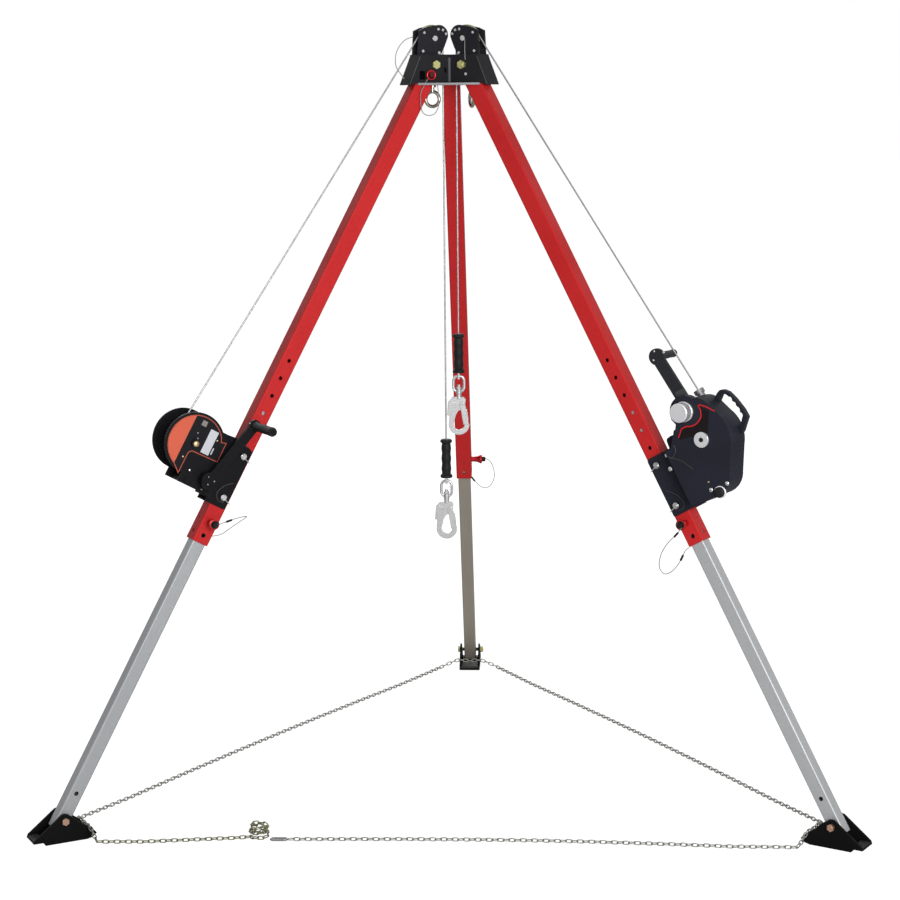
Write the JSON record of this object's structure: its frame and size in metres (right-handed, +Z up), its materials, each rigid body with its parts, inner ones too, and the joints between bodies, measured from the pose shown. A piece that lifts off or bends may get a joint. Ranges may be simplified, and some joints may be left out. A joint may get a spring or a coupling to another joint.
{
  "type": "rescue tripod",
  "caption": "Rescue tripod with pinned telescopic legs, a pulley head, a geared hand winch, a self-retracting lifeline with crank, snap hooks and a foot chain.",
  "frame": {"origin": "on the floor, under the centre of the standing footprint", "axes": "+Z up, +Y from the front (winch left, lifeline right) to the rear leg, +X from the left leg to the right leg"},
  "size_m": [2.2922, 1.985, 2.1954],
  "materials": {
    "head_coat": "satin black powder coat",
    "base_grey": "grey coated plate",
    "stainless": "polished stainless",
    "yellow_zinc": "yellow zinc plate",
    "black_metal": "satin black",
    "sheave_gold": "greenish gold anodised",
    "red_anodised": "red anodised",
    "red_coat": "gloss red powder coat",
    "silver_tube": "clear anodised, brushed lengthwise",
    "foot_black": "satin black",
    "drum_steel": "turned steel",
    "rope_steel": "galvanised wire rope",
    "grip_rubber": "matt moulded rubber",
    "screw_steel": "bright zinc plate",
    "case_black": "fine textured black",
    "spring_steel": "blued strip",
    "arm_grey": "dark grey coat",
    "bright_alloy": "bright machined",
    "hook_steel": "polished forged steel",
    "chain_zinc": "galvanised"
  },
  "bodies": {
    "head": {"head_frame": "head_coat", "base_plate": "base_grey", "eye_bolts": "stainless", "head_fasteners": "yellow_zinc", "pulley_cheeks": "black_metal", "winch_cable": "rope_steel", "srl_cable": "rope_steel", "foot_chain": "chain_zinc", "chain_link": "chain_zinc"},
    "left_leg": {"upper_leg_left": "red_coat", "winch_bracket": "black_metal", "winch_frame": "black_metal", "winch_fasteners": "screw_steel"},
    "left_shank": {"lower_leg_left": "silver_tube", "foot_bolt_left": "yellow_zinc"},
    "left_foot": {"foot_left": "foot_black"},
    "left_pin": {"leg_pin_left": "red_anodised"},
    "left_lock": {"lock_pin_left": "red_anodised"},
    "right_leg": {"upper_leg_right": "red_coat", "srl_bracket": "black_metal", "srl_housing": "case_black", "srl_rear_cover": "case_black", "srl_front_cover": "case_black", "srl_handle": "case_black", "srl_nozzle": "bright_alloy", "srl_fasteners": "screw_steel", "srl_spring": "spring_steel"},
    "right_shank": {"lower_leg_right": "silver_tube", "foot_bolt_right": "yellow_zinc"},
    "right_foot": {"foot_right": "foot_black"},
    "right_pin": {"leg_pin_right": "red_anodised"},
    "right_lock": {"lock_pin_right": "red_anodised"},
    "rear_leg": {"upper_leg_rear": "red_coat"},
    "rear_shank": {"lower_leg_rear": "silver_tube", "foot_bolt_rear": "yellow_zinc"},
    "rear_foot": {"foot_rear": "foot_black"},
    "rear_pin": {"leg_pin_rear": "red_anodised"},
    "rear_lock": {"lock_pin_rear": "red_anodised"},
    "winch_reel": {"winch_drum": "drum_steel", "winch_winding": "rope_steel", "winch_gear": "drum_steel"},
    "winch_handle": {"winch_crank": "black_metal", "winch_pinion": "drum_steel"},
    "winch_hand_grip": {"winch_grip": "grip_rubber"},
    "left_sheave": {"sheave_left": "sheave_gold"},
    "right_sheave": {"sheave_right": "sheave_gold"},
    "srl_reel": {"srl_spool": "drum_steel"},
    "srl_arm": {"srl_crank": "arm_grey", "srl_knob": "bright_alloy"},
    "srl_hand_grip": {"srl_grip": "grip_rubber"},
    "winch_line": {"winch_hook_grip": "grip_rubber", "winch_hook_link": "hook_steel"},
    "winch_snap": {"winch_hook_body": "hook_steel"},
    "winch_gate": {"winch_hook_gate": "hook_steel"},
    "winch_trigger": {"winch_hook_lever": "hook_steel"},
    "srl_line": {"srl_hook_grip": "grip_rubber", "srl_hook_link": "hook_steel"},
    "srl_snap": {"srl_hook_body": "hook_steel"},
    "srl_gate": {"srl_hook_gate": "hook_steel"},
    "srl_trigger": {"srl_hook_lever": "hook_steel"}
  },
  "joints": [
    {"name": "left_fold", "type": "hinge", "parent": "head", "child": "left_leg", "pos_m": [-0.05369, -0.34163, 2.08405], "axis": [0.5, -0.866, 0], "range_deg": [0, 26], "deforming": ["foot_chain"]},
    {"name": "left_extend", "type": "slide", "parent": "left_leg", "child": "left_shank", "axis": [0.4284, 0.2474, 0.8691], "range_m": [-0.324, 0.822]},
    {"name": "left_ankle", "type": "hinge", "parent": "left_shank", "child": "left_foot", "pos_m": [-1.05149, -0.91771, 0.06], "axis": [0.5, -0.866, 0], "range_deg": [-30, 30]},
    {"name": "left_pin_pull", "type": "slide", "parent": "left_leg", "child": "left_pin", "axis": [0.5, -0.866, 0], "range_m": [0, 0.045]},
    {"name": "left_lock_pull", "type": "slide", "parent": "head", "child": "left_lock", "axis": [0.5, -0.866, 0], "range_m": [0, 0.08]},
    {"name": "right_fold", "type": "hinge", "parent": "head", "child": "right_leg", "pos_m": [0.05369, -0.34163, 2.08405], "axis": [0.5, 0.866, 0], "range_deg": [0, 26]},
    {"name": "right_extend", "type": "slide", "parent": "right_leg", "child": "right_shank", "axis": [-0.4284, 0.2474, 0.8691], "range_m": [-0.324, 0.822]},
    {"name": "right_ankle", "type": "hinge", "parent": "right_shank", "child": "right_foot", "pos_m": [1.05149, -0.91771, 0.06], "axis": [0.5, 0.866, 0], "range_deg": [-30, 30]},
    {"name": "right_pin_pull", "type": "slide", "parent": "right_leg", "child": "right_pin", "axis": [-0.5, -0.866, 0], "range_m": [0, 0.045]},
    {"name": "right_lock_pull", "type": "slide", "parent": "head", "child": "right_lock", "axis": [0.5, 0.866, 0], "range_m": [0, 0.08]},
    {"name": "rear_fold", "type": "hinge", "parent": "head", "child": "rear_leg", "pos_m": [0, -0.24863, 2.08405], "axis": [-1, 0, 0], "range_deg": [0, 26]},
    {"name": "rear_extend", "type": "slide", "parent": "rear_leg", "child": "rear_shank", "axis": [0, -0.4947, 0.8691], "range_m": [-0.324, 0.794]},
    {"name": "rear_ankle", "type": "hinge", "parent": "rear_shank", "child": "rear_foot", "pos_m": [0, 0.90352, 0.06], "axis": [-1, 0, 0], "range_deg": [-30, 30]},
    {"name": "rear_pin_pull", "type": "slide", "parent": "rear_leg", "child": "rear_pin", "axis": [1, 0, 0], "range_m": [0, 0.045]},
    {"name": "rear_lock_pull", "type": "slide", "parent": "head", "child": "rear_lock", "axis": [-1, 0, 0], "range_m": [0, 0.08]},
    {"name": "winch_turn", "type": "hinge", "parent": "left_leg", "child": "winch_reel", "pos_m": [-0.70684, -0.71873, 1.07043], "axis": [0.5, -0.866, 0], "range_deg": [-674.07, 11.23], "deforming": ["winch_cable"]},
    {"name": "winch_crank_turn", "type": "hinge", "parent": "left_leg", "child": "winch_handle", "pos_m": [-0.68277, -0.70483, 0.96917], "axis": [0.5, -0.866, 0], "range_deg": [-36.95, 2158.02]},
    {"name": "winch_grip_spin", "type": "hinge", "parent": "winch_handle", "child": "winch_hand_grip", "pos_m": [-0.49142, -0.76756, 1.1105], "axis": [0.5, -0.866, 0], "continuous": true},
    {"name": "left_sheave_turn", "type": "hinge", "parent": "head", "child": "left_sheave", "pos_m": [-0.05023, -0.33963, 2.15711], "axis": [0.5, -0.866, 0], "range_deg": [-955.93, 16.92]},
    {"name": "srl_turn", "type": "hinge", "parent": "right_leg", "child": "srl_reel", "pos_m": [0.71953, -0.72606, 1.08107], "axis": [0.5, 0.866, 0], "range_deg": [-14.32, 787.82], "deforming": ["srl_cable", "srl_spring"]},
    {"name": "right_sheave_turn", "type": "hinge", "parent": "head", "child": "right_sheave", "pos_m": [0.05023, -0.33963, 2.15711], "axis": [0.5, 0.866, 0], "range_deg": [-16.92, 876.35]},
    {"name": "srl_crank_swing", "type": "hinge", "parent": "right_leg", "child": "srl_arm", "pos_m": [0.67839, -0.7023, 1.15644], "axis": [0.5, 0.866, 0], "range_deg": [-38, 4]},
    {"name": "srl_grip_spin", "type": "hinge", "parent": "srl_arm", "child": "srl_hand_grip", "pos_m": [0.60124, -0.63467, 1.29469], "axis": [0.5, 0.866, 0], "continuous": true},
    {"name": "winch_hook_lift", "type": "slide", "parent": "head", "child": "winch_line", "axis": [0, 0, 1], "range_m": [-0.602, 0.012]},
    {"name": "winch_hook_swivel", "type": "hinge", "parent": "winch_line", "child": "winch_snap", "pos_m": [-0.01905, -0.32163, 0.861], "axis": [0, 0, 1], "continuous": true},
    {"name": "winch_gate_open", "type": "hinge", "parent": "winch_snap", "child": "winch_gate", "pos_m": [-0.00905, -0.32163, 0.805], "axis": [0, 1, 0], "range_deg": [0, 28], "stiffness_Nm_per_rad": 0.4, "springref_deg": -17.19},
    {"name": "winch_trigger_press", "type": "hinge", "parent": "winch_snap", "child": "winch_trigger", "pos_m": [-0.03505, -0.32163, 0.805], "axis": [0, 1, 0], "range_deg": [-6, 0], "stiffness_Nm_per_rad": 0.6, "springref_deg": 17.19},
    {"name": "srl_hook_lift", "type": "slide", "parent": "head", "child": "srl_line", "axis": [0, 0, 1], "range_m": [-0.012, 0.552]},
    {"name": "srl_hook_swivel", "type": "hinge", "parent": "srl_line", "child": "srl_snap", "pos_m": [0.01905, -0.32163, 1.169], "axis": [0, 0, 1], "continuous": true},
    {"name": "srl_gate_open", "type": "hinge", "parent": "srl_snap", "child": "srl_gate", "pos_m": [0.02905, -0.32163, 1.113], "axis": [0, 1, 0], "range_deg": [0, 28], "stiffness_Nm_per_rad": 0.4, "springref_deg": -17.19},
    {"name": "srl_trigger_press", "type": "hinge", "parent": "srl_snap", "child": "srl_trigger", "pos_m": [0.00305, -0.32163, 1.113], "axis": [0, 1, 0], "range_deg": [-6, 0], "stiffness_Nm_per_rad": 0.6, "springref_deg": 17.19}
  ],
  "couplings": [
    {"joint": "winch_crank_turn", "follows": "winch_turn", "ratio": -3.2},
    {"joint": "left_sheave_turn", "follows": "winch_turn", "ratio": 1.4167},
    {"joint": "right_sheave_turn", "follows": "srl_turn", "ratio": 1.1111},
    {"joint": "winch_hook_lift", "follows": "winch_turn", "m_per_rad": 0.051},
    {"joint": "srl_hook_lift", "follows": "srl_turn", "m_per_rad": 0.04}
  ]
}
